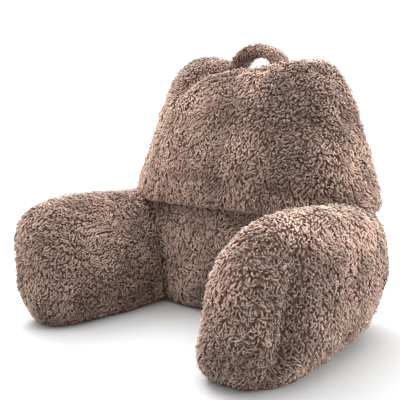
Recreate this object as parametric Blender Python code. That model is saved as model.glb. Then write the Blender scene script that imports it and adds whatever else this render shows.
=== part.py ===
"""Backrest cushion with two arms and a carrying handle, in long curly pile.

Metres, +Z up. The sitter's side faces -Y. The cushion stands on z = 0, and every size includes the pile.
"""

import math

import bmesh
import bpy
import numpy as np
from mathutils import Vector, noise

# Main sizes of the cushion
SEAM_HEIGHT = 0.207
BACK_HEIGHT = 0.474
BACK_WIDTH_AT_SEAM = 0.575
BACK_WIDTH_AT_TOP = 0.360
BACK_WAIST = 0.004
BACK_DEPTH_AT_SEAM = 0.234
BACK_DEPTH_AT_TOP = 0.146
BACK_CENTRE_Y = 0.050
RECLINE = math.radians(4.3)
FRONT_CROWN = 0.012
TOP_FALL = 0.012
LUMBAR_WIDTH = 0.490
LUMBAR_DEPTH = 0.178
LUMBAR_CENTRE_Y = 0.052
LUMBAR_CROWN = 0.010
ARM_LENGTH = 0.425
ARM_SPACING = 0.452
ARM_FRONT_Y = -0.305

# The two rear top corners stand up as ears, one higher than the other, and the front ones only a little
EAR_RISE_FRONT = 0.003
EAR_RISE_LEFT = 0.072
EAR_RISE_RIGHT = 0.027
EAR_SPREAD_LEFT = 0.034
EAR_SPREAD_RIGHT = -0.011
EAR_POWER_LEFT = 1.3
EAR_POWER_RIGHT = 2.6

# How full the corners of the upper back and the lumbar cushion are, across and towards their faces
BACK_OUTLINE_POWER = 5.0
BACK_EDGE_POWER = 3.4
LUMBAR_OUTLINE_POWER = 4.5
LUMBAR_EDGE_POWER = 3.6

# The two arms differ a little: sizes in metres, and powers that say how full each corner is
ARMS = {
    "arm_left": {
        "side": -1,
        "width": 0.146,
        "height": 0.228,
        "rear_drop": 0.006,
        "lean": 0.021,
        "top": 2.7,
        "inner_bottom": 2.2,
        "outer_bottom": 2.5,
        "outer_bottom_rear": 2.5,
        "front_end": 3.8,
        "rear_end": 4.4,
    },
    "arm_right": {
        "side": 1,
        "width": 0.153,
        "height": 0.242,
        "rear_drop": 0.013,
        "lean": 0.020,
        "top": 2.5,
        "inner_bottom": 3.4,
        "outer_bottom": 2.6,
        "outer_bottom_rear": 1.9,
        "front_end": 3.8,
        "rear_end": 4.0,
    },
}
ARM_SAG = 0.18
ARM_WRAP = 0.021

# How far each cushion is drawn below the plane where it is sewn or where it settles flat
SEAM_TUCK = 0.034
FLOOR_TUCK = 0.022

# Clear space kept between sewn pieces
SEAM_GAP = 0.0003

# The filling is uneven, and the pile stands in clumps. Each cushion has a seed of its own.
FILL_WAVE = 0.080
FILL_HEIGHT = 0.0035
CLUMP_WAVE = 0.030
CLUMP_HEIGHT = 0.0030
LUMP_SEEDS = {"upper_back": 1, "lumbar": 2, "arm_left": 3, "arm_right": 4}

# Quads across, along and up each cushion
BACK_QUADS = (26, 10, 17)
LUMBAR_QUADS = (20, 8, 10)
ARM_QUADS = (10, 26, 14)

# Handle: a flat strap that stands in an arch over the rear top seam
HANDLE_SPAN = 0.110
HANDLE_RISE = 0.028
HANDLE_ROOT_DROP = 0.050
HANDLE_STRAP_WIDTH = 0.062
HANDLE_STRAP_THICKNESS = 0.028
HANDLE_CENTRE_X = -0.003
HANDLE_CENTRE_Y = 0.092
HANDLE_BULGE = 0.12
HANDLE_ROUNDNESS = 0.73
HANDLE_STEPS = 26
HANDLE_SIDES = 10

# One cloth covers every sub-part: its colour as sRGB
PILE_COLOUR = (0.553, 0.459, 0.412)
PILE_ROUGHNESS = 0.95

# Soft folds: the points that each runs through, its depth and how wide it spreads, in metres
FOLDS = {
    "upper_back": [
        {
            "name": "valley behind the front crest, at the higher ear",
            "path": [(-0.118, 0.014, 0.432), (-0.078, 0.042, 0.460), (-0.010, 0.072, 0.472)],
            "depth": 0.020,
            "width": 0.024,
        },
        {
            "name": "sag of the top under the handle",
            "path": [(-0.035, 0.086, 0.476), (0.050, 0.092, 0.478)],
            "depth": 0.0230,
            "width": 0.031,
        },
        {
            "name": "crease where the front panel meets the side",
            "path": [(0.185, 0.072, 0.440), (0.215, 0.054, 0.374), (0.244, 0.010, 0.240)],
            "depth": 0.007,
            "width": 0.016,
        },
        {
            "name": "dent in that crease",
            "path": [(0.200, 0.040, 0.385), (0.222, 0.060, 0.360)],
            "depth": 0.007,
            "width": 0.018,
        },
        {
            "name": "dent below the lower ear",
            "path": [(0.150, 0.030, 0.455), (0.185, 0.090, 0.450)],
            "depth": 0.006,
            "width": 0.020,
        },
        {
            "name": "fold above the seam",
            "path": [(0.160, -0.052, 0.238), (0.235, -0.020, 0.236)],
            "depth": 0.005,
            "width": 0.012,
        },
    ],
    "arm_left": [
        {
            "name": "fold above the floor, on the inner side",
            "path": [(-0.145, -0.240, 0.044), (-0.143, -0.161, 0.039), (-0.146, -0.080, 0.034)],
            "depth": 0.006,
            "width": 0.012,
        },
        {
            "name": "seam of the end cap, on the outer side",
            "path": [(-0.233, -0.285, 0.202), (-0.222, -0.300, 0.162), (-0.215, -0.300, 0.110)],
            "depth": 0.005,
            "width": 0.014,
        },
    ],
    "arm_right": [
        {
            "name": "seam trough between the end cap and the outer side",
            "path": [
                (0.293, -0.222, 0.190),
                (0.292, -0.246, 0.130),
                (0.290, -0.250, 0.080),
                (0.274, -0.254, 0.030),
            ],
            "depth": 0.013,
            "width": 0.020,
        },
    ],
}


def smooth_step(value, low, high):
    """0 below low, 1 above high and a smooth rise between."""
    share = np.clip((value - low) / (high - low), 0.0, 1.0)
    return share * share * (3.0 - 2.0 * share)


def rounded_off(points, outline_power, edge_power):
    """Points of a cube as (across, up, along), rounded off across and up, and towards both ends."""
    across, up, along = np.abs(points).T
    reach = np.maximum(across, up)
    round_reach = (across**outline_power + up**outline_power) ** (1.0 / outline_power)
    rounding = np.where(round_reach > 0, reach / np.maximum(round_reach, 1e-9), 1.0)
    ends = (reach**edge_power + along**edge_power) ** (-1.0 / edge_power)
    scale = np.stack([rounding * ends, rounding * ends, ends], axis=1)
    return points * scale


def cube_mesh(counts):
    """A closed cube from -1 to 1 with counts quads along X, Y and Z."""
    mesh = bmesh.new()
    bmesh.ops.create_cube(mesh, size=2.0)
    for axis, count in enumerate(counts):
        along = [e for e in mesh.edges if abs(e.verts[0].co[axis] - e.verts[1].co[axis]) > 1.0]
        bmesh.ops.subdivide_edges(mesh, edges=along, cuts=count - 1, use_grid_fill=True)
    return mesh


def distance_to_path(points, path):
    """Distance from each point to a line through the points of path, and its share along the line."""
    stops = np.array(path)
    nearest = np.full(len(points), np.inf)
    share = np.zeros(len(points))
    for i, (start, end) in enumerate(zip(stops, stops[1:])):
        line = end - start
        along = np.clip((points - start) @ line / (line @ line), 0.0, 1.0)
        away = np.linalg.norm(points - start - along[:, None] * line, axis=1)
        closer = away < nearest
        nearest = np.where(closer, away, nearest)
        share = np.where(closer, (i + along) / (len(stops) - 1), share)
    return nearest, share


def press_folds(mesh, folds):
    """Sinks each fold into the mesh along its normals, shallow at both ends of the fold."""
    for fold in folds:
        mesh.normal_update()
        points = np.array([vert.co[:] for vert in mesh.verts])
        away, share = distance_to_path(points, fold["path"])
        fade = np.sin(math.pi * (0.15 + 0.70 * share))
        depths = fold["depth"] * fade * np.exp(-((away / fold["width"]) ** 2))
        for vert, sunk in zip(mesh.verts, depths):
            vert.co -= vert.normal * sunk


def add_lumps(mesh, seed):
    """Moves each point along its normal for the uneven filling and the clumps of pile."""
    mesh.normal_update()
    offset = Vector((seed * 3.1, seed * 5.3, seed * 7.7))
    moves = []
    for vert in mesh.verts:
        height = FILL_HEIGHT * noise.noise(vert.co / FILL_WAVE + offset)
        height += CLUMP_HEIGHT * noise.noise(vert.co / CLUMP_WAVE + offset)
        moves.append(vert.normal * height)
    for vert, move in zip(mesh.verts, moves):
        vert.co += move


def settle_on_floor(mesh):
    """Presses flat whatever would lie below the floor."""
    for vert in mesh.verts:
        vert.co.z = max(vert.co.z, 0.0)


def cut_flat(mesh, height, keep_above):
    """Cuts the mesh at a height and closes it with a flat face."""
    whole = list(mesh.verts) + list(mesh.edges) + list(mesh.faces)
    cut = bmesh.ops.bisect_plane(
        mesh,
        geom=whole,
        plane_co=(0.0, 0.0, height),
        plane_no=(0.0, 0.0, 1.0),
        clear_inner=keep_above,
        clear_outer=not keep_above,
    )
    rim = [item for item in cut["geom_cut"] if isinstance(item, bmesh.types.BMEdge)]
    bmesh.ops.contextual_create(mesh, geom=rim)


def pile_material(name):
    """A matt Principled BSDF for the sub-part's pile."""
    material = bpy.data.materials.new(name + "_pile")
    material.use_nodes = True
    shader = material.node_tree.nodes["Principled BSDF"]
    linear = [((value + 0.055) / 1.055) ** 2.4 for value in PILE_COLOUR]
    shader.inputs["Base Color"].default_value = (*linear, 1.0)
    shader.inputs["Roughness"].default_value = PILE_ROUGHNESS
    shader.inputs["Metallic"].default_value = 0.0
    return material


def finished_object(name, mesh):
    """The bmesh in triangles as a named object in the scene, shaded smooth, in its own material."""
    bmesh.ops.triangulate(mesh, faces=mesh.faces)
    bmesh.ops.recalc_face_normals(mesh, faces=mesh.faces)
    data = bpy.data.meshes.new(name)
    mesh.to_mesh(data)
    mesh.free()
    data.shade_smooth()
    data.set_sharp_from_angle(angle=math.radians(50))
    data.materials.append(pile_material(name))
    obj = bpy.data.objects.new(name, data)
    bpy.context.scene.collection.objects.link(obj)
    return obj


def carve(obj, neighbour):
    """Cuts the neighbour's shape out of obj and leaves the seam gap between them."""
    cutter = neighbour.copy()
    cutter.data = neighbour.data.copy()
    cutter.name = "cutter_" + neighbour.name + "_" + obj.name
    grown = bmesh.new()
    grown.from_mesh(cutter.data)
    grown.normal_update()
    outward = [vert.normal * vert.calc_shell_factor() for vert in grown.verts]
    for vert, direction in zip(grown.verts, outward):
        vert.co += direction * SEAM_GAP
    grown.to_mesh(cutter.data)
    grown.free()
    cutter.hide_render = True
    cutter.display_type = "WIRE"
    bpy.context.scene.collection.objects.link(cutter)
    cut = obj.modifiers.new("carve_" + neighbour.name, "BOOLEAN")
    cut.operation = "DIFFERENCE"
    cut.solver = "EXACT"
    cut.object = cutter


def cube_points(mesh):
    """The cube's points as (across, up, along), where along runs from the front to the rear."""
    return np.array([vert.co[:] for vert in mesh.verts])[:, [0, 2, 1]]


def place_points(mesh, placed):
    """Moves each vertex to its place, given as x, y and z of them all, and makes the faces look outwards."""
    for vert, place in zip(mesh.verts, np.stack(placed, axis=1)):
        vert.co = place
    bmesh.ops.recalc_face_normals(mesh, faces=mesh.faces)


def upper_back_shape(across, up, along):
    """The tall tapered cushion: across its width, up its height, along from the front to the rear."""
    bottom = SEAM_HEIGHT - SEAM_TUCK
    share_up = (up + 1.0) / 2.0
    rear = (along + 1.0) / 2.0
    near_top = smooth_step(up, 0.2, 1.0)
    left = smooth_step(-across, -0.2, 0.2)
    half_width = BACK_WIDTH_AT_SEAM / 2 + (BACK_WIDTH_AT_TOP - BACK_WIDTH_AT_SEAM) / 2 * share_up
    half_width = half_width - BACK_WAIST * (1.0 - up**2)
    ear_spread = EAR_SPREAD_RIGHT + left * (EAR_SPREAD_LEFT - EAR_SPREAD_RIGHT)
    half_width = half_width + ear_spread * rear * near_top
    half_depth = BACK_DEPTH_AT_SEAM / 2 + (BACK_DEPTH_AT_TOP - BACK_DEPTH_AT_SEAM) / 2 * share_up
    ear_rise = EAR_RISE_RIGHT + left * (EAR_RISE_LEFT - EAR_RISE_RIGHT)
    ear_power = EAR_POWER_RIGHT + left * (EAR_POWER_LEFT - EAR_POWER_RIGHT)
    ears = (EAR_RISE_FRONT + ear_rise * rear) * np.abs(across) ** ear_power * near_top
    # The top falls a little from the rear to the front
    fall = TOP_FALL * (rear - 0.5) * near_top
    height = bottom + share_up * (BACK_HEIGHT - bottom) + ears + fall
    # The front is crowned, most of all just above the seam
    crown = FRONT_CROWN * np.clip(1 - across**2, 0, 1) * np.clip(1 - (up + 0.35) ** 2, 0, 1)
    x = across * half_width
    y = BACK_CENTRE_Y + along * half_depth + (height - bottom) * math.tan(RECLINE)
    return x, y - crown * np.clip(-along, 0, 1), height


def lumbar_shape(across, up, along):
    """The low cushion between and behind the arms."""
    top = SEAM_HEIGHT + SEAM_TUCK
    height = -FLOOR_TUCK + (up + 1.0) / 2.0 * (top + FLOOR_TUCK)
    crown = LUMBAR_CROWN * np.clip(1 - (2.0 * across) ** 2, 0, 1) * np.clip(1 - up**2, 0, 1)
    x = across * LUMBAR_WIDTH / 2
    y = LUMBAR_CENTRE_Y + along * LUMBAR_DEPTH / 2 - crown * np.clip(-along, 0, 1)
    return x, y, height


def arm_powers(arm, points):
    """How full the corners of an arm are at each point: around its section, and towards its ends."""
    outer = smooth_step(points[:, 0], -0.5, 0.5)
    top = smooth_step(points[:, 1], -0.5, 0.5)
    rear = smooth_step(points[:, 2], -0.5, 0.5)
    outer_bottom = arm["outer_bottom"] + (arm["outer_bottom_rear"] - arm["outer_bottom"]) * rear
    bottom = arm["inner_bottom"] + (outer_bottom - arm["inner_bottom"]) * outer
    around = bottom + (arm["top"] - bottom) * top
    ends = arm["front_end"] + (arm["rear_end"] - arm["front_end"]) * rear
    return around, ends


def arm_shape(arm, across, up, along):
    """One arm: across it from the inner to the outer side, up it, and along from its front to its rear."""
    share_back = (along + 1.0) / 2.0
    half_height = (arm["height"] + FLOOR_TUCK) / 2
    # The top falls a little towards the rear
    drop = arm["rear_drop"] * smooth_step(share_back, 0.40, 0.85)
    height = -FLOOR_TUCK + (half_height - drop / 2) * (1.0 + up)
    outward = across * arm["width"] / 2 * (1.0 - ARM_SAG * up) + arm["lean"] * up
    # The rear end turns in behind the lumbar cushion
    outward = outward - ARM_WRAP * smooth_step(share_back, 0.62, 1.0)
    y = ARM_FRONT_Y + share_back * ARM_LENGTH
    return arm["side"] * (ARM_SPACING / 2 + outward), y, height


def build_upper_back():
    mesh = cube_mesh(BACK_QUADS)
    rounded = rounded_off(cube_points(mesh), BACK_OUTLINE_POWER, BACK_EDGE_POWER)
    place_points(mesh, upper_back_shape(*rounded.T))
    press_folds(mesh, FOLDS["upper_back"])
    add_lumps(mesh, LUMP_SEEDS["upper_back"])
    cut_flat(mesh, SEAM_HEIGHT + SEAM_GAP / 2, keep_above=True)
    return finished_object("upper_back", mesh)


def build_lumbar():
    mesh = cube_mesh(LUMBAR_QUADS)
    rounded = rounded_off(cube_points(mesh), LUMBAR_OUTLINE_POWER, LUMBAR_EDGE_POWER)
    place_points(mesh, lumbar_shape(*rounded.T))
    add_lumps(mesh, LUMP_SEEDS["lumbar"])
    settle_on_floor(mesh)
    cut_flat(mesh, SEAM_HEIGHT - SEAM_GAP / 2, keep_above=False)
    return finished_object("lumbar", mesh)


def build_arm(name):
    arm = ARMS[name]
    mesh = cube_mesh(ARM_QUADS)
    points = cube_points(mesh)
    around, ends = arm_powers(arm, points)
    place_points(mesh, arm_shape(arm, *rounded_off(points, around, ends).T))
    press_folds(mesh, FOLDS[name])
    add_lumps(mesh, LUMP_SEEDS[name])
    settle_on_floor(mesh)
    return finished_object(name, mesh)


def build_handle():
    """A strap swept along an arch, with both ends sunk into the upper back, which then carves them."""
    half_span = HANDLE_SPAN / 2
    root = BACK_HEIGHT - HANDLE_ROOT_DROP
    rise = HANDLE_ROOT_DROP + HANDLE_RISE
    mesh = bmesh.new()
    rings = []
    for step in range(HANDLE_STEPS + 1):
        turn = math.pi * step / HANDLE_STEPS
        upright = max(math.sin(turn), 0.0)
        centre_x = HANDLE_CENTRE_X - half_span * math.cos(turn) * (1.0 + HANDLE_BULGE * upright)
        centre_z = root + rise * upright**HANDLE_ROUNDNESS
        slope = math.atan2(rise * math.cos(turn), half_span * max(upright, 0.05))
        across_strap = Vector((-math.sin(slope), 0.0, math.cos(slope)))
        ring = []
        for side in range(HANDLE_SIDES):
            angle = 2 * math.pi * side / HANDLE_SIDES
            out = HANDLE_STRAP_THICKNESS / 2 * math.cos(angle)
            back = HANDLE_STRAP_WIDTH / 2 * math.sin(angle)
            spot = Vector((centre_x, HANDLE_CENTRE_Y + back, centre_z)) + across_strap * out
            ring.append(mesh.verts.new(spot))
        rings.append(ring)
    for first, second in zip(rings, rings[1:]):
        for side in range(HANDLE_SIDES):
            after = (side + 1) % HANDLE_SIDES
            mesh.faces.new((first[side], first[after], second[after], second[side]))
    mesh.faces.new(rings[0])
    mesh.faces.new(rings[-1])
    return finished_object("handle", mesh)


def main():
    for old in list(bpy.data.objects):
        bpy.data.objects.remove(old)
    arms = [build_arm(name) for name in ARMS]
    upper_back = build_upper_back()
    lumbar = build_lumbar()
    handle = build_handle()
    for arm in arms:
        carve(upper_back, arm)
        carve(lumbar, arm)
    carve(handle, upper_back)


main()
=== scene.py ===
"""The looks of the armed backrest cushion.

Soft skins are filled out by a simulation, and a curly pile of modelled locks stands on them.
Lengths are in metres.
"""

import math

import bpy
import numpy as np
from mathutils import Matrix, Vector, kdtree, noise
from mathutils.bvhtree import BVHTree


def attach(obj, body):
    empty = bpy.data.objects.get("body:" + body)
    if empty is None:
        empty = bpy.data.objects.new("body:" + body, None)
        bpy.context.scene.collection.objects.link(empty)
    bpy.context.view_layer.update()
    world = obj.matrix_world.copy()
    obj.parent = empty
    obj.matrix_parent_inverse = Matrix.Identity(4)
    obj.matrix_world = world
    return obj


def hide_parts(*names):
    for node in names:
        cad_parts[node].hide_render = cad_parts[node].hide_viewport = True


# Camera: bearing from the cushion's front, and distance, for the photo's frame of 400 by 400
CAMERA_AZIMUTH = math.radians(37.8)
CAMERA_DISTANCE = 1.167
CAMERA_HEIGHT = 0.364
CAMERA_AIM_ACROSS = -0.056
CAMERA_AIM_HEIGHT = 0.217
FRAME_PIXELS = 400
FOCAL_PIXELS = 624
SENSOR_WIDTH = 36.0
SHIFT_PIXELS = (1.0, 1.0)

# The skin lies SKIN_INSET inside the solid's surface where it is free, FREE_BEYOND or more from a neighbour,
# and SEWN_INSET inside where it is sewn on, SEWN_WITHIN or less from it. The filling lifts it within limits.
SKIN_INSET = 0.0047
SEWN_INSET = 0.0010
SEWN_WITHIN = 0.0005
FREE_BEYOND = 0.0045
SKIN_VOXEL = 0.0060
SKIN_SWELL_ROOM = 0.0020
SWELL_LEAST = 0.0012
SWELL_LIMIT = 0.0045
CLOTH_QUALITY = 5
CLOTH_MASS = 0.3
CLOTH_STIFFNESS = 12.0
CLOTH_BENDING = 0.4
CLOTH_PRESSURE = 4.0
CLOTH_FRAMES = 20
# The skin lies flat on the floor where the solid is below the first height, and is free above the second
REST_HEIGHTS = (0.0020, 0.0120)
FLOOR_CLEAR = 0.0006
# No lock stands nearer to a neighbouring cushion
SEAM_CLEAR = 0.0016

# Locks of pile. The leans are from the skin's normal, in degrees, one for each step along a lock.
# In shorter pile only a share of the spacing and of the width stays.
LOCK_SPACING = 0.00348
FIXED_SPACING = 0.5
FIXED_WIDTH = 0.4
SCATTER_TRIES = 3.2
LOCK_LENGTH = 0.0125
LENGTH_RANGE = (0.78, 1.18)
LOCK_HALF_WIDTH = 0.00185
WIDTH_RANGE = (0.80, 1.20)
LOCK_FLATNESS = 0.62
LOCK_ROOT_DEPTH = 0.0015
LOCK_LEANS = (10.0, 42.0, 80.0, 112.0)
LOCK_PROFILE = (0.75, 1.0, 0.95, 0.70)
LOCK_SIDES = 3
LOCK_CURL = 34.0
STRAIGHT_STEP = 1.0
LIFT_SPREAD = 8.0
TURN_SPREAD = 12.0
# Locks near the floor are shorter, and none stand where the skin faces down near it
SHORT_SHARE = 0.5
SHORT_HEIGHTS = (0.002, 0.022)
UNDERSIDE_NORMAL = -0.60
UNDERSIDE_HEIGHT = 0.008

# How the comb wanders: a broad wave and a finer one
WANDER_WAVE = 0.045
FINE_WANDER_WAVE = 0.018
FINE_WANDER = 0.6
# A sleeve turns into an end cap between these slopes of its normal
CAP_SLOPES = (0.30, 0.75)
COMB_LEAST = 0.25
NOISE_GAIN = 1.6
NOISE_SHIFT = (1.7, 2.9, 4.3)

# Openness is 0 in plain pile, above 0 where it stands open and below 0 where it lies smooth
OPENNESS_RANGE = (-1.3, 1.5)
# A patch has its full amount within this share of its reach
OPEN_CORE = 0.2
OPEN_WAVE = 0.050
OPEN_LIFT = 9.0
OPEN_TURN = 0.5
OPEN_CURL = 0.4
# Locks are painted darker where the pile stands open, as painted shade, and paler where it lies smooth, as
# painted light
OPEN_PAINTED_SHADE_AND_LIGHT = 0.36

# Locks gather in clumps that share a way, a lift and a tone
CLUMP_SPACING = 0.0092
CLUMP_PULL = 0.34
CLUMP_PULL_OPEN = 0.02
CLUMP_TURN = 20.0
CLUMP_LIFT = 8.0
CLUMP_TONE = 0.09
PULL_POWER = 1.5

# Tone of a lock: 0 is the darkest, 1 the palest
TONE_MIDDLE = 0.5
TONE_SPREAD = 0.10
TONE_DRIFT = 0.17
TONE_WAVE = 0.035
LOCKS_IN_PIECE = 9000
UV_MARGIN = 0.04

# Added to a cushion's seed, or used in its place, so that each noise differs
FINE_WANDER_SEED = 3
OPEN_SEED = 7
TONE_SEED = 40

# How each cushion's pile lies: the way it is combed, and how far that way wanders, in degrees.
# length is a share of LOCK_LENGTH.
PILE = {
    "upper_back": {
        "comb": (0.10, 0.0, -1.0),
        "wander": 50.0,
        "length": 1.0,
        "seed": 11,
    },
    "lumbar": {
        "comb": (0.35, -0.3, -0.9),
        "wander": 60.0,
        "length": 0.95,
        "seed": 12,
    },
    "arm_left": {
        "comb": (0.0, -1.0, -0.15),
        "wander": 45.0,
        "length": 0.95,
        "seed": 13,
    },
    "arm_right": {
        "comb": (0.1, -0.5, -0.9),
        "wander": 55.0,
        "length": 0.95,
        "seed": 14,
    },
    "handle": {
        "comb": (0.2, 0.0, -1.0),
        "wander": 50.0,
        "length": 0.70,
        "seed": 15,
    },
}
# Where the pile stands open and shows its roots, or lies smooth where the amount is below 0, with the locks
# painted darker as painted shade where open and paler as painted light where smooth: lines on the surface,
# and how far around them
OPEN_PATCHES_AND_PAINTED_SHADE = {
    "upper_back": [
        {"path": [(0.150, -0.006, 0.402), (0.119, -0.018, 0.385)], "reach": 0.070, "amount": 1.1},
        {"path": [(0.119, -0.018, 0.385), (0.155, -0.041, 0.286)], "reach": 0.085, "amount": 1.1},
        {"path": [(0.130, -0.010, 0.420), (0.180, 0.010, 0.400)], "reach": 0.060, "amount": 0.5},
        {"path": [(-0.106, 0.005, 0.423), (-0.053, 0.017, 0.452)], "reach": 0.026, "amount": 1.2},
        {"path": [(0.205, 0.051, 0.360), (0.190, 0.060, 0.400)], "reach": 0.030, "amount": 0.8},
        {"path": [(-0.200, -0.040, 0.260), (-0.130, -0.020, 0.380)], "reach": 0.130, "amount": -1.3},
        {"path": [(-0.169, -0.046, 0.230), (-0.060, -0.055, 0.235)], "reach": 0.060, "amount": -0.7},
        {"path": [(-0.100, 0.000, 0.405), (0.030, 0.000, 0.440)], "reach": 0.050, "amount": -0.9},
        {"path": [(0.240, 0.060, 0.260), (0.200, 0.100, 0.400)], "reach": 0.060, "amount": -0.9},
        {"path": [(0.212, -0.006, 0.319), (0.238, 0.028, 0.286)], "reach": 0.045, "amount": -0.9},
    ],
    "lumbar": [
        {"path": [(-0.110, -0.040, 0.190), (-0.100, -0.040, 0.060)], "reach": 0.060, "amount": -1.0},
    ],
    "arm_left": [
        {"path": [(-0.145, -0.230, 0.035), (-0.148, -0.070, 0.060)], "reach": 0.045, "amount": 0.9},
        {"path": [(-0.150, -0.200, 0.160), (-0.170, -0.100, 0.210)], "reach": 0.090, "amount": -0.9},
    ],
    "arm_right": [
        {"path": [(0.288, -0.258, 0.177), (0.288, -0.244, 0.134)], "reach": 0.050, "amount": 1.5},
        {"path": [(0.288, -0.244, 0.134), (0.286, -0.238, 0.077)], "reach": 0.045, "amount": 1.5},
        {"path": [(0.286, -0.238, 0.077), (0.276, -0.246, 0.036)], "reach": 0.045, "amount": 1.5},
        {"path": [(0.269, -0.265, 0.214), (0.276, -0.285, 0.180)], "reach": 0.050, "amount": 0.9},
        {"path": [(0.260, -0.280, 0.060), (0.230, -0.290, 0.030)], "reach": 0.050, "amount": 0.9},
        {"path": [(0.251, -0.304, 0.166), (0.244, -0.300, 0.070)], "reach": 0.070, "amount": 0.7},
        {"path": [(0.298, -0.195, 0.190), (0.298, -0.185, 0.060)], "reach": 0.060, "amount": 0.8},
        {"path": [(0.194, -0.304, 0.074), (0.212, -0.306, 0.133)], "reach": 0.036, "amount": -0.5},
        {"path": [(0.212, -0.306, 0.133), (0.222, -0.288, 0.198)], "reach": 0.036, "amount": -0.5},
        {"path": [(0.222, -0.288, 0.198), (0.243, -0.250, 0.229)], "reach": 0.036, "amount": -0.6},
        {"path": [(0.265, -0.186, 0.237), (0.292, -0.089, 0.207)], "reach": 0.050, "amount": -1.1},
        {"path": [(0.301, -0.040, 0.170), (0.300, -0.032, 0.089)], "reach": 0.070, "amount": -0.6},
    ],
    "handle": [],
}

# Soft troughs pressed into the skins, which makes the solids' folds deeper
TROUGHS = {
    "upper_back": [
        {"path": [(-0.118, 0.014, 0.432), (-0.070, 0.045, 0.462)], "depth": 0.007, "width": 0.016},
        {"path": [(0.200, 0.040, 0.385), (0.222, 0.060, 0.360)], "depth": 0.007, "width": 0.016},
        {"path": [(0.150, 0.030, 0.455), (0.185, 0.090, 0.450)], "depth": 0.005, "width": 0.018},
        {"path": [(0.160, -0.052, 0.238), (0.235, -0.020, 0.236)], "depth": 0.004, "width": 0.012},
    ],
    "lumbar": [],
    "arm_left": [
        {
            "path": [(-0.145, -0.240, 0.044), (-0.143, -0.161, 0.039), (-0.146, -0.080, 0.034)],
            "depth": 0.006,
            "width": 0.012,
        },
    ],
    "arm_right": [
        {
            "path": [(0.292, -0.236, 0.185), (0.289, -0.246, 0.081), (0.276, -0.249, 0.037)],
            "depth": 0.011,
            "width": 0.022,
        },
    ],
    "handle": [],
}
TROUGH_REACH = 1.6
# The pieces with a filling. The handle is a sewn strap.
CUSHIONS = ("upper_back", "lumbar", "arm_left", "arm_right")

# Studio: how bright the world is, from straight behind the camera to straight ahead of it
WORLD_GLOW = (
    (0.00, 0.26),
    (0.34, 0.26),
    (0.50, 0.72),
    (0.62, 0.84),
    (0.72, 0.76),
    (0.86, 0.27),
    (1.00, 0.26),
)
WORLD_STRENGTH = 4.05
WORLD_TILT = 0.35
TOP_LIGHT = 3.9
TOP_LIGHT_SPREAD = 70.0
TOP_LIGHT_FROM = (-0.3, 0.25, 1.0)
SIDE_LIGHT_SIZE = 1.0
SIDE_LIGHT_AIM = (0.0, 0.0, 0.25)
RIGHT_LIGHT_PLACE = (1.50, 1.35, 0.55)
RIGHT_LIGHT = 40.0
LEFT_LIGHT_PLACE = (-1.30, 0.20, 1.40)
LEFT_LIGHT = 45.0
FLOOR_SIZE = 80.0
FLOOR_COLOUR = (0.36, 0.36, 0.36)
FLOOR_ROUGHNESS = 0.9

# Pile colours, linear. The skin is MATTED_COLOUR in the middle of a tuft and darkest between tufts, as
# painted shade in the grooves, and its dark colours are partly painted shade between the locks.
# The dark root colour is painted shade down among the locks
ROOT_SHADE_COLOUR = (0.160, 0.082, 0.055)
MIDDLE_COLOUR = (0.428, 0.298, 0.240)
TIP_COLOUR = (0.385, 0.308, 0.270)
MATTED_COLOUR = (0.270, 0.175, 0.138)
TUFT_GAP_SHADE_COLOUR = (0.070, 0.031, 0.018)
SHEEN_TINT = (0.95, 0.86, 0.80)

# Where along a lock its colours lie, from 0 at the root to 1 at the tip
ROOT_END = 0.05
MIDDLE_PLACE = 0.50
TIP_START = 0.95
# Brightness of the darkest and the palest tone, which holds painted shade on open pile and painted light on
# smooth pile, and of the darkest and the palest patch of wear
TONE_BRIGHTNESS = (0.63, 1.25)
WEAR_BRIGHTNESS = (0.88, 1.12)
WEAR_NOISE_RANGE = (0.3, 0.7)
WEAR_SCALE = 26.0
WEAR_DETAIL = 4.0
STRAND_SCALE = 900.0
STRAND_DETAIL = 3.0
STRAND_BUMP = (0.35, 0.0006)
PILE_ROUGHNESS = 0.90
PILE_SPECULAR = 0.10
PILE_SHEEN = 0.18
PILE_SHEEN_ROUGHNESS = 0.45
TUFT_SCALE = 160.0
TUFT_EDGE = 0.75
TUFT_BUMP = (0.8, 0.002)
SKIN_ROUGHNESS = 0.95
SKIN_SPECULAR = 0.2


def smooth_step(value, low, high):
    share = np.clip((value - low) / (high - low), 0.0, 1.0)
    return share * share * (3.0 - 2.0 * share)


def unit(vectors):
    """Each row scaled to length 1."""
    return vectors / np.maximum(np.linalg.norm(vectors, axis=-1, keepdims=True), 1e-9)


def points_of(mesh):
    flat = np.empty(len(mesh.vertices) * 3)
    mesh.vertices.foreach_get("co", flat)
    return flat.reshape(-1, 3)


def normals_of(mesh):
    flat = np.empty(len(mesh.vertices) * 3)
    mesh.vertex_normals.foreach_get("vector", flat)
    return flat.reshape(-1, 3)


def set_points(mesh, points):
    mesh.vertices.foreach_set("co", points.ravel())
    mesh.update()


def tree_of(objects):
    """One search tree over several meshes whose objects sit at the origin."""
    verts, faces = [], []
    for obj in objects:
        start = len(verts)
        verts.extend(v.co.copy() for v in obj.data.vertices)
        faces.extend([start + i for i in poly.vertices] for poly in obj.data.polygons)
    return BVHTree.FromPolygons(verts, faces)


def distances(tree, points):
    return np.array([tree.find_nearest(Vector(p))[3] for p in points])


def baked(obj):
    """Replaces the object's mesh by its evaluated one and drops the modifiers."""
    graph = bpy.context.evaluated_depsgraph_get()
    mesh = bpy.data.meshes.new_from_object(obj.evaluated_get(graph))
    obj.modifiers.clear()
    obj.data = mesh


def distance_to_path(points, path):
    """How far each point is from a line through the path's places."""
    nearest = np.full(len(points), np.inf)
    for start, end in zip(path, path[1:]):
        start, end = np.array(start), np.array(end)
        span = end - start
        share = np.clip((points - start) @ span / (span @ span), 0.0, 1.0)
        nearest = np.minimum(nearest, np.linalg.norm(points - start - share[:, None] * span, axis=1))
    return nearest


# Skins


def exposure_at(points, neighbours):
    """0 where a cushion is sewn to its neighbour, 1 where its pile stands free."""
    return smooth_step(distances(neighbours, points), SEWN_WITHIN, FREE_BEYOND)


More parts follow.
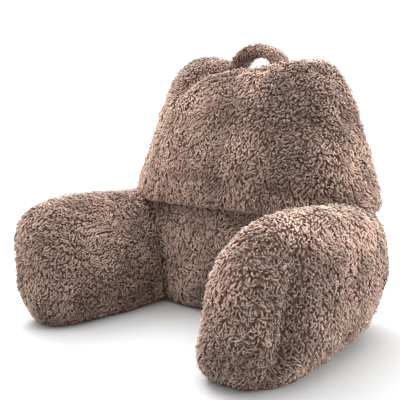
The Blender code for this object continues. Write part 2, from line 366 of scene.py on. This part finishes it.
def fill_out(obj, exposure):
    """Fills the skin by pressure in a cloth simulation, which lifts each point a little, within limits."""
    before, outward = points_of(obj.data), normals_of(obj.data)
    cloth = obj.modifiers.new("filling", "CLOTH")
    settings = cloth.settings
    settings.quality = CLOTH_QUALITY
    settings.mass = CLOTH_MASS
    settings.tension_stiffness = CLOTH_STIFFNESS
    settings.compression_stiffness = CLOTH_STIFFNESS
    settings.bending_stiffness = CLOTH_BENDING
    settings.use_pressure = True
    settings.uniform_pressure_force = CLOTH_PRESSURE
    settings.effector_weights.gravity = 0.0
    cloth.collision_settings.use_collision = False
    scene = bpy.context.scene
    for frame_number in range(1, CLOTH_FRAMES + 1):
        scene.frame_set(frame_number)
    baked(obj)
    scene.frame_set(1)
    rise = ((points_of(obj.data) - before) * outward).sum(axis=1)
    rise = np.clip(rise, exposure * SWELL_LEAST, exposure * SWELL_LIMIT)
    set_points(obj.data, before + outward * rise[:, None])


def make_skin(name, neighbours):
    """The cushion's cloth under the pile, made from its solid and drawn in."""
    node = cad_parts[name]
    skin = bpy.data.objects.new(name + "_skin", node.data.copy())
    bpy.context.scene.collection.objects.link(skin)
    skin.data.materials.clear()
    remesh = skin.modifiers.new("even_faces", "REMESH")
    remesh.mode = "VOXEL"
    remesh.voxel_size = SKIN_VOXEL
    baked(skin)
    outside = points_of(skin.data)
    exposure = exposure_at(outside, neighbours)
    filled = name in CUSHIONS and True
    swell = SKIN_SWELL_ROOM if filled else 0.0
    inset = SEWN_INSET + exposure * (SKIN_INSET * PILE[name]["length"] + swell - SEWN_INSET)
    points = outside - normals_of(skin.data) * inset[:, None]
    set_points(skin.data, points)
    if filled:
        fill_out(skin, exposure)
    points, outward = points_of(skin.data), normals_of(skin.data)
    for trough in TROUGHS[name]:
        away = distance_to_path(points, trough["path"])
        near = 1.0 - smooth_step(away, 0.0, trough["width"] * TROUGH_REACH)
        points = points - outward * (trough["depth"] * near)[:, None]
    on_floor = smooth_step(outside[:, 2], REST_HEIGHTS[1], REST_HEIGHTS[0])
    points[:, 2] = points[:, 2] * (1.0 - on_floor) + FLOOR_CLEAR * on_floor
    points[:, 2] = np.maximum(points[:, 2], FLOOR_CLEAR)
    set_points(skin.data, points)
    skin.data.shade_smooth()
    return skin


# Pile


def scattered(mesh, spacing, rng):
    """Points spread over a mesh no closer than spacing: their places and normals."""
    mesh.calc_loop_triangles()
    corners = np.empty(len(mesh.loop_triangles) * 3, int)
    mesh.loop_triangles.foreach_get("vertices", corners)
    corners = corners.reshape(-1, 3)
    points, normals = points_of(mesh), normals_of(mesh)
    a, b, c = (points[corners[:, i]] for i in range(3))
    areas = np.linalg.norm(np.cross(b - a, c - a), axis=1) / 2
    count = int(areas.sum() / spacing**2 * SCATTER_TRIES)
    chosen = rng.choice(len(areas), size=count, p=areas / areas.sum())
    u, v = rng.random(count), rng.random(count)
    folded = u + v > 1
    u[folded], v[folded] = 1 - u[folded], 1 - v[folded]
    weights = np.stack([1 - u - v, u, v], axis=1)[:, :, None]
    places = (points[corners[chosen]] * weights).sum(axis=1)
    outward = unit((normals[corners[chosen]] * weights).sum(axis=1))
    tree = kdtree.KDTree(count)
    for i, place in enumerate(places):
        tree.insert(place, i)
    tree.balance()
    free = np.ones(count, bool)
    kept = []
    for i in range(count):
        if not free[i]:
            continue
        kept.append(i)
        for _, near, _ in tree.find_range(places[i], spacing):
            free[near] = False
    return places[kept], outward[kept]


def noise_at(points, wave, seed):
    """Smooth noise from about -1 to 1 at each point."""
    offset = Vector([seed * shift for shift in NOISE_SHIFT])
    return np.array([noise.noise(Vector(p) / wave + offset) for p in points]) * NOISE_GAIN


def combed(name, places, normals, openness, clump_turn, rng):
    """The direction along the skin in which each lock lies."""
    style = PILE[name]
    comb = np.tile(np.array(style["comb"], float), (len(places), 1))
    if name.startswith("arm"):
        # The end caps hang down, and the sleeves lie along the arm
        cap = smooth_step(-normals[:, 1], *CAP_SLOPES)[:, None]
        comb = comb * (1 - cap) + np.array([0.0, 0.0, -1.0]) * cap
    along = comb - normals * (comb * normals).sum(axis=1)[:, None]
    weak = np.linalg.norm(along, axis=1) < COMB_LEAST
    along[weak] += np.array([0.0, -1.0, 0.0]) - normals[weak] * (-normals[weak, 1])[:, None]
    along = unit(along)
    across = np.cross(normals, along)
    broad = noise_at(places, WANDER_WAVE, style["seed"])
    fine = noise_at(places, FINE_WANDER_WAVE, style["seed"] + FINE_WANDER_SEED)
    loose = 1.0 + OPEN_TURN * openness
    turn = np.radians(style["wander"]) * (broad + FINE_WANDER * fine)
    turn = turn + np.radians(TURN_SPREAD) * loose * rng.standard_normal(len(places)) + clump_turn * loose
    return along * np.cos(turn)[:, None] + across * np.sin(turn)[:, None]


def lock_lines(places, normals, along, style, pull, openness, clump_lift, rng):
    """Each lock's centre points, and the side and up directions of its section at each of them."""
    count, steps = len(places), len(LOCK_LEANS)
    across = np.cross(normals, along)
    length = LOCK_LENGTH * style["length"] * rng.uniform(*LENGTH_RANGE, count)
    length = length * (SHORT_SHARE + (1.0 - SHORT_SHARE) * smooth_step(places[:, 2], *SHORT_HEIGHTS))
    lift = rng.normal(0.0, LIFT_SPREAD, count) - OPEN_LIFT * openness + clump_lift
    curl = np.radians(LOCK_CURL) * rng.normal(0.0, 1.0, count) * (1.0 + OPEN_CURL * openness)
    line = [places - normals * LOCK_ROOT_DEPTH]
    sides, ups = [], []
    for step in range(steps):
        lean = np.radians(LOCK_LEANS[step] + lift)[:, None]
        twist = (curl * (step - STRAIGHT_STEP))[:, None]
        flat = along * np.cos(twist) + across * np.sin(twist)
        heading = normals * np.cos(lean) + flat * np.sin(lean)
        sides.append(-along * np.sin(twist) + across * np.cos(twist))
        ups.append(normals * np.sin(lean) - flat * np.cos(lean))
        line.append(line[-1] + heading * (length / steps)[:, None])
    sides.append(sides[-1])
    ups.append(ups[-1])
    line = np.stack(line, axis=1)
    shares = (np.arange(steps + 1) / steps)[None, :, None]
    line = line + pull[:, None, :] * shares**PULL_POWER
    return line, np.stack(sides, axis=1), np.stack(ups, axis=1)


def lock_mesh(name, line, sides, ups, width, tones_and_shade):
    """All the locks as one mesh of closed tapered tubes, each with its own cell in the UV map."""
    count, stations = line.shape[:2]
    rings = stations - 1
    angles = math.pi / 2 + np.arange(LOCK_SIDES) * 2 * math.pi / LOCK_SIDES
    radius = np.array(LOCK_PROFILE)[None, :] * width[:, None]
    around = (
        sides[:, :rings, None, :] * np.cos(angles)[None, None, :, None]
        + ups[:, :rings, None, :] * (LOCK_FLATNESS * np.sin(angles))[None, None, :, None]
    )
    ring_points = line[:, :rings, None, :] + around * radius[:, :, None, None]
    per_lock = rings * LOCK_SIDES + 1
    verts = np.concatenate([ring_points.reshape(count, -1, 3), line[:, rings:, :]], axis=1)
    verts[:, :, 2] = np.maximum(verts[:, :, 2], FLOOR_CLEAR)
    quads, tips = [], []
    for ring in range(rings - 1):
        for side in range(LOCK_SIDES):
            after = (side + 1) % LOCK_SIDES
            low, high = ring * LOCK_SIDES, (ring + 1) * LOCK_SIDES
            quads.append((low + side, low + after, high + after, high + side))
    last = (rings - 1) * LOCK_SIDES
    for side in range(LOCK_SIDES):
        tips.append((last + side, last + (side + 1) % LOCK_SIDES, per_lock - 1))
    base = tuple(reversed(range(LOCK_SIDES)))
    loops = np.array([i for face in quads for i in face] + [i for face in tips for i in face] + list(base))
    sizes = np.array([4] * len(quads) + [3] * len(tips) + [LOCK_SIDES])
    mesh = bpy.data.meshes.new(name)
    mesh.vertices.add(count * per_lock)
    mesh.vertices.foreach_set("co", verts.ravel())
    offsets = np.arange(count)[:, None] * per_lock
    mesh.loops.add(count * len(loops))
    mesh.loops.foreach_set("vertex_index", (offsets + loops[None, :]).ravel())
    all_sizes = np.tile(sizes, count)
    mesh.polygons.add(len(all_sizes))
    mesh.polygons.foreach_set("loop_start", np.concatenate([[0], np.cumsum(all_sizes)[:-1]]))
    mesh.polygons.foreach_set("use_smooth", np.ones(len(all_sizes), bool))
    # A cell of the UV map for each lock: around the lock, then along it
    cells = math.ceil(math.sqrt(count))
    local = lock_cell(rings, len(quads))
    corner = np.stack([np.arange(count) % cells, np.arange(count) // cells], axis=1)[:, None, :]
    layer = mesh.uv_layers.new(name="OFBake")
    inside = UV_MARGIN + (1.0 - 2.0 * UV_MARGIN) * local[None]
    layer.uv.foreach_set("vector", ((corner + inside) / cells).ravel())
    along_lock = np.concatenate([np.repeat(np.arange(rings) / rings, LOCK_SIDES), [1.0]])
    point_values = {"along_lock": np.tile(along_lock, count), "tone": np.repeat(tones_and_shade, per_lock)}
    for label, values in point_values.items():
        attribute = mesh.attributes.new(label, "FLOAT", "POINT")
        attribute.data.foreach_set("value", values.astype(np.float32))
    mesh.update()
    mesh.validate()
    return mesh


def lock_cell(rings, quad_count):
    """UV places of one lock's face corners inside its own cell, in the order of its faces."""
    places = []
    for index in range(quad_count):
        ring, side = divmod(index, LOCK_SIDES)
        left, right = side / LOCK_SIDES, (side + 1) / LOCK_SIDES
        low, high = (ring + 1) / (rings + 1), (ring + 2) / (rings + 1)
        places += [(left, low), (right, low), (right, high), (left, high)]
    for side in range(LOCK_SIDES):
        left, right = side / LOCK_SIDES, (side + 1) / LOCK_SIDES
        places += [(left, rings / (rings + 1)), (right, rings / (rings + 1)), ((left + right) / 2, 1.0)]
    # The root's closing face, a flat triangle below the rest
    places += [(0.9, 0.02), (0.5, 0.12), (0.1, 0.02)]
    return np.array(places)


def make_pile(name, skin, neighbours):
    """The cushion's locks, as one or more pieces."""
    style = PILE[name]
    rng = np.random.default_rng(style["seed"])
    spread = FIXED_SPACING + (1.0 - FIXED_SPACING) * style["length"]
    places, normals = scattered(skin.data, LOCK_SPACING * spread, rng)
    free = distances(neighbours, places) > SEAM_CLEAR
    underneath = (normals[:, 2] < UNDERSIDE_NORMAL) & (places[:, 2] < UNDERSIDE_HEIGHT)
    keep = free & ~underneath
    places, normals = places[keep], normals[keep]
    openness = noise_at(places, OPEN_WAVE, style["seed"] + OPEN_SEED)
    for patch in OPEN_PATCHES_AND_PAINTED_SHADE[name]:
        away = distance_to_path(places, patch["path"])
        near = 1.0 - smooth_step(away, OPEN_CORE * patch["reach"], patch["reach"])
        openness = openness + patch["amount"] * near
    openness = np.clip(openness, *OPENNESS_RANGE)
    centres, _ = scattered(skin.data, CLUMP_SPACING, rng)
    tree = kdtree.KDTree(len(centres))
    for i, centre in enumerate(centres):
        tree.insert(centre, i)
    tree.balance()
    clump = np.array([tree.find(p)[1] for p in places])
    clump_turn = np.radians(CLUMP_TURN) * rng.standard_normal(len(centres))[clump]
    clump_lift = CLUMP_LIFT * rng.standard_normal(len(centres))[clump]
    clump_tone = CLUMP_TONE * rng.standard_normal(len(centres))[clump]
    gathered = CLUMP_PULL + CLUMP_PULL_OPEN * openness
    pull = (centres[clump] - places) * gathered[:, None]
    along = combed(name, places, normals, openness, clump_turn, rng)
    line, sides, ups = lock_lines(places, normals, along, style, pull, openness, clump_lift, rng)
    thickness = FIXED_WIDTH + (1.0 - FIXED_WIDTH) * style["length"]
    width = LOCK_HALF_WIDTH * thickness * rng.uniform(*WIDTH_RANGE, len(places))
    tones_and_shade = TONE_MIDDLE + TONE_SPREAD * rng.standard_normal(len(places))
    tones_and_shade = tones_and_shade + TONE_DRIFT * noise_at(places, TONE_WAVE, TONE_SEED)
    # The openness also paints shade on the locks of open pile and light on those of smooth pile
    tones_and_shade = np.clip(tones_and_shade + clump_tone - OPEN_PAINTED_SHADE_AND_LIGHT * openness, 0, 1)
    order = np.argsort(places[:, 1] if name != "handle" else places[:, 0], kind="stable")
    groups = np.array_split(order, math.ceil(len(order) / LOCKS_IN_PIECE))
    pieces = []
    for number, group in enumerate(groups, start=1):
        piece_name = f"{name}_pile_{number}"
        mesh = lock_mesh(piece_name, line[group], sides[group], ups[group], width[group], tones_and_shade[group])
        piece = bpy.data.objects.new(piece_name, mesh)
        bpy.context.scene.collection.objects.link(piece)
        pieces.append(piece)
    return pieces


# Materials


def add_bump(tree, height, strength_and_distance):
    """A bump node between a texture's value and the tree's shader."""
    bump = tree.nodes.new("ShaderNodeBump")
    strength, distance = strength_and_distance
    bump.inputs["Strength"].default_value = strength
    bump.inputs["Distance"].default_value = distance
    tree.links.new(height, bump.inputs["Height"])
    tree.links.new(bump.outputs["Normal"], tree.nodes["Principled BSDF"].inputs["Normal"])
    return bump


def add_noise(tree, place, scale, detail):
    texture = tree.nodes.new("ShaderNodeTexNoise")
    texture.inputs["Scale"].default_value = scale
    texture.inputs["Detail"].default_value = detail
    tree.links.new(place, texture.inputs["Vector"])
    return texture.outputs["Fac"]


def scaled_by(tree, colour, value, value_range, brightness):
    """The colour made darker or paler as the value goes through its range."""
    factor = tree.nodes.new("ShaderNodeMapRange")
    factor.inputs["From Min"].default_value, factor.inputs["From Max"].default_value = value_range
    factor.inputs["To Min"].default_value, factor.inputs["To Max"].default_value = brightness
    tree.links.new(value, factor.inputs["Value"])
    scaled = tree.nodes.new("ShaderNodeVectorMath")
    scaled.operation = "SCALE"
    tree.links.new(colour, scaled.inputs[0])
    tree.links.new(factor.outputs["Result"], scaled.inputs["Scale"])
    return scaled.outputs["Vector"]


def pile_material():
    """Woolly locks: dark at the root as painted shade down in the pile, pale from the middle on, uneven from
    lock to lock with painted shade on open pile and painted light on smooth pile, finely stranded.
    """
    material = bpy.data.materials.new("curly_pile")
    material.use_nodes = True
    tree = material.node_tree
    shader = tree.nodes["Principled BSDF"]
    along = tree.nodes.new("ShaderNodeAttribute")
    along.attribute_name = "along_lock"
    tone = tree.nodes.new("ShaderNodeAttribute")
    tone.attribute_name = "tone"
    ramp = tree.nodes.new("ShaderNodeValToRGB")
    root, tip = ramp.color_ramp.elements
    root.position, root.color = ROOT_END, (*ROOT_SHADE_COLOUR, 1)
    tip.position, tip.color = TIP_START, (*TIP_COLOUR, 1)
    ramp.color_ramp.elements.new(MIDDLE_PLACE).color = (*MIDDLE_COLOUR, 1)
    tree.links.new(along.outputs["Fac"], ramp.inputs["Fac"])
    place = tree.nodes.new("ShaderNodeTexCoord").outputs["Object"]
    wear = add_noise(tree, place, WEAR_SCALE, WEAR_DETAIL)
    colour = scaled_by(tree, ramp.outputs["Color"], tone.outputs["Fac"], (0.0, 1.0), TONE_BRIGHTNESS)
    colour = scaled_by(tree, colour, wear, WEAR_NOISE_RANGE, WEAR_BRIGHTNESS)
    tree.links.new(colour, shader.inputs["Base Color"])
    add_bump(tree, add_noise(tree, place, STRAND_SCALE, STRAND_DETAIL), STRAND_BUMP)
    shader.inputs["Roughness"].default_value = PILE_ROUGHNESS
    shader.inputs["Specular IOR Level"].default_value = PILE_SPECULAR
    shader.inputs["Sheen Weight"].default_value = PILE_SHEEN
    shader.inputs["Sheen Roughness"].default_value = PILE_SHEEN_ROUGHNESS
    shader.inputs["Sheen Tint"].default_value = (*SHEEN_TINT, 1)
    return material


def skin_material():
    """The matted roots of the pile, rough and darker, seen between locks and underneath: partly their own
    colour and partly painted shade between the locks, darkest in the grooves between tufts as painted shade.
    """
    material = bpy.data.materials.new("matted_roots_and_shade")
    material.use_nodes = True
    tree = material.node_tree
    shader = tree.nodes["Principled BSDF"]
    tufts = tree.nodes.new("ShaderNodeTexVoronoi")
    tufts.inputs["Scale"].default_value = TUFT_SCALE
    tree.links.new(tree.nodes.new("ShaderNodeTexCoord").outputs["Object"], tufts.inputs["Vector"])
    colour = tree.nodes.new("ShaderNodeValToRGB")
    # The colour darkens towards the tufts' edges as painted shade in the grooves between them
    middle, edge = colour.color_ramp.elements
    middle.color = (*MATTED_COLOUR, 1)
    edge.position, edge.color = TUFT_EDGE, (*TUFT_GAP_SHADE_COLOUR, 1)
    tree.links.new(tufts.outputs["Distance"], colour.inputs["Fac"])
    tree.links.new(colour.outputs["Color"], shader.inputs["Base Color"])
    add_bump(tree, tufts.outputs["Distance"], TUFT_BUMP).invert = True
    shader.inputs["Roughness"].default_value = SKIN_ROUGHNESS
    shader.inputs["Specular IOR Level"].default_value = SKIN_SPECULAR
    return material


# Studio


def add_floor():
    bpy.ops.mesh.primitive_plane_add(size=FLOOR_SIZE, location=(0.0, 0.0, 0.0))
    floor = bpy.context.object
    floor.name = "floor"
    material = bpy.data.materials.new("studio_floor")
    material.use_nodes = True
    shader = material.node_tree.nodes["Principled BSDF"]
    shader.inputs["Base Color"].default_value = (*FLOOR_COLOUR, 1)
    shader.inputs["Roughness"].default_value = FLOOR_ROUGHNESS
    floor.data.materials.append(material)


def add_world():
    """Brightest beside and above the cushion, dim behind the photo's camera and straight ahead of it."""
    world = bpy.data.worlds.new("studio")
    bpy.context.scene.world = world
    world.use_nodes = True
    nodes, links = world.node_tree.nodes, world.node_tree.links
    background = nodes["Background"]
    way = nodes.new("ShaderNodeTexCoord")
    ahead = nodes.new("ShaderNodeVectorMath")
    ahead.operation = "DOT_PRODUCT"
    links.new(way.outputs["Generated"], ahead.inputs[0])
    ahead.inputs[1].default_value = (-math.sin(CAMERA_AZIMUTH), math.cos(CAMERA_AZIMUTH), WORLD_TILT)
    share = nodes.new("ShaderNodeMapRange")
    share.inputs["From Min"].default_value = -1.0
    share.inputs["From Max"].default_value = 1.0
    links.new(ahead.outputs["Value"], share.inputs["Value"])
    glow = nodes.new("ShaderNodeValToRGB")
    ramp = glow.color_ramp
    while len(ramp.elements) < len(WORLD_GLOW):
        ramp.elements.new(0.5)
    for element, (position, brightness) in zip(ramp.elements, WORLD_GLOW):
        element.position = position
        element.color = (brightness, brightness, brightness, 1)
    links.new(share.outputs["Result"], glow.inputs["Fac"])
    links.new(glow.outputs["Color"], background.inputs["Color"])
    background.inputs["Strength"].default_value = WORLD_STRENGTH


def add_top_light():
    """A broad soft light from above and a little behind."""
    data = bpy.data.lights.new("top", "SUN")
    data.energy = TOP_LIGHT
    data.angle = math.radians(TOP_LIGHT_SPREAD)
    light = bpy.data.objects.new("top", data)
    light.rotation_euler = (-Vector(TOP_LIGHT_FROM)).to_track_quat("-Z", "Y").to_euler()
    bpy.context.scene.collection.objects.link(light)


def add_side_light(name, place, watts):
    data = bpy.data.lights.new(name, "AREA")
    data.size = SIDE_LIGHT_SIZE
    data.energy = watts
    light = bpy.data.objects.new(name, data)
    light.location = place
    light.rotation_euler = (Vector(SIDE_LIGHT_AIM) - Vector(place)).to_track_quat("-Z", "Y").to_euler()
    bpy.context.scene.collection.objects.link(light)


def add_camera():
    data = bpy.data.cameras.new("camera")
    data.sensor_width = SENSOR_WIDTH
    data.lens = FOCAL_PIXELS / FRAME_PIXELS * SENSOR_WIDTH
    data.shift_x = -SHIFT_PIXELS[0] / FRAME_PIXELS
    data.shift_y = SHIFT_PIXELS[1] / FRAME_PIXELS
    camera = bpy.data.objects.new("camera", data)
    sine, cosine = math.sin(CAMERA_AZIMUTH), math.cos(CAMERA_AZIMUTH)
    camera.location = (sine * CAMERA_DISTANCE, -cosine * CAMERA_DISTANCE, CAMERA_HEIGHT)
    aim = Vector((CAMERA_AIM_ACROSS * cosine, CAMERA_AIM_ACROSS * sine, CAMERA_AIM_HEIGHT))
    camera.rotation_euler = (aim - camera.location).to_track_quat("-Z", "Y").to_euler()
    bpy.context.scene.collection.objects.link(camera)
    bpy.context.scene.camera = camera


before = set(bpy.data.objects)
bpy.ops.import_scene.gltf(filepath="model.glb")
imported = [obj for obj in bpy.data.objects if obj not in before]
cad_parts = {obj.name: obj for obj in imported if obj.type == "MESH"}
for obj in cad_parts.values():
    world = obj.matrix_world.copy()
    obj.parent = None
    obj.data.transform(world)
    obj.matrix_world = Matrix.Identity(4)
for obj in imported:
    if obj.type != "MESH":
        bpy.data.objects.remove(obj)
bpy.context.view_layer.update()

curly_pile = pile_material()
matted_roots_and_shade = skin_material()
for node_name in PILE:
    others = tree_of([obj for other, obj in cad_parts.items() if other != node_name])
    skin = make_skin(node_name, others)
    skin.data.materials.append(matted_roots_and_shade)
    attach(skin, "root")
    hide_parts(node_name)
    for piece in make_pile(node_name, skin, others):
        piece.data.materials.append(curly_pile)
        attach(piece, "root")

add_floor()
add_world()
add_top_light()
add_side_light("right", RIGHT_LIGHT_PLACE, RIGHT_LIGHT)
add_side_light("left", LEFT_LIGHT_PLACE, LEFT_LIGHT)
add_camera()
bpy.context.scene.view_settings.view_transform = "Standard"
